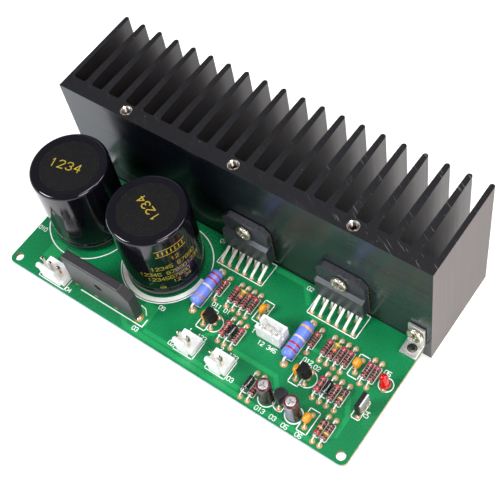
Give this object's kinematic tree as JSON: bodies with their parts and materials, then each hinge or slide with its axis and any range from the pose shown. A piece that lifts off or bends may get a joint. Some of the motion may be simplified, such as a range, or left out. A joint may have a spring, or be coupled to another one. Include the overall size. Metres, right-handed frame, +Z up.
{
  "type": "audio amplifier board",
  "caption": "Circuit board of an audio power amplifier, screwed along one edge to a tall finned heatsink.",
  "frame": {"origin": "middle of the bounding box's underside, on the plane of the heatsink's lower end", "axes": "+X along the heatsink, +Y from the board towards the fins, +Z up"},
  "size_m": [0.1546, 0.0904, 0.0557],
  "materials": {
    "heatsink": "black anodised, smooth front",
    "board": "green solder mask, white print",
    "capacitor_sleeve": "black shrink sleeve",
    "capacitor_disc": "matte black",
    "bridge_moulding": "moulded grey",
    "chip_moulding": "moulded charcoal",
    "nickel": "nickel plated",
    "connector": "ivory nylon",
    "blue_lacquer": "blue lacquer, colour bands",
    "brown_lacquer": "brown lacquer, colour bands",
    "diode_moulding": "black, silver band",
    "orange_dip": "orange dip coating",
    "transistor_moulding": "moulded black",
    "small_sleeve": "dark brown shrink sleeve",
    "lamp": "clear red"
  },
  "bodies": {
    "root": {"heatsink": "heatsink", "circuit_board": "board", "filter_capacitor_1": "capacitor_sleeve", "filter_capacitor_2": "capacitor_sleeve", "capacitor_top_disc_1": "capacitor_disc", "capacitor_top_disc_2": "capacitor_disc", "bridge_rectifier": "bridge_moulding", "amplifier_chip_1": "chip_moulding", "amplifier_chip_2": "chip_moulding", "chip_screw_1": "nickel", "chip_screw_2": "nickel", "bracket_left": "nickel", "bracket_right": "nickel", "bracket_wall_screw_left": "nickel", "bracket_wall_screw_right": "nickel", "bracket_board_screw_left": "nickel", "bracket_board_screw_right": "nickel", "supply_connector": "connector", "output_connector_1": "connector", "output_connector_2": "connector", "input_connector": "connector", "power_resistor_1": "blue_lacquer", "power_resistor_2": "blue_lacquer", "resistor_01": "brown_lacquer", "resistor_02": "brown_lacquer", "resistor_03": "brown_lacquer", "resistor_04": "brown_lacquer", "resistor_05": "brown_lacquer", "resistor_06": "brown_lacquer", "resistor_07": "brown_lacquer", "resistor_08": "brown_lacquer", "resistor_09": "brown_lacquer", "resistor_10": "brown_lacquer", "resistor_11": "brown_lacquer", "resistor_12": "brown_lacquer", "resistor_13": "brown_lacquer", "resistor_14": "brown_lacquer", "resistor_15": "brown_lacquer", "resistor_16": "brown_lacquer", "resistor_17": "brown_lacquer", "resistor_18": "brown_lacquer", "resistor_19": "brown_lacquer", "resistor_20": "brown_lacquer", "diode_1": "diode_moulding", "diode_2": "diode_moulding", "diode_3": "diode_moulding", "ceramic_capacitor_1": "orange_dip", "ceramic_capacitor_2": "orange_dip", "ceramic_capacitor_3": "orange_dip", "ceramic_capacitor_4": "orange_dip", "ceramic_capacitor_5": "orange_dip", "transistor_1": "transistor_moulding", "transistor_2": "transistor_moulding", "transistor_3": "transistor_moulding", "tab_transistor": "transistor_moulding", "small_capacitor_1": "small_sleeve", "small_capacitor_2": "small_sleeve", "indicator_lamp": "lamp"}
  },
  "joints": []
}
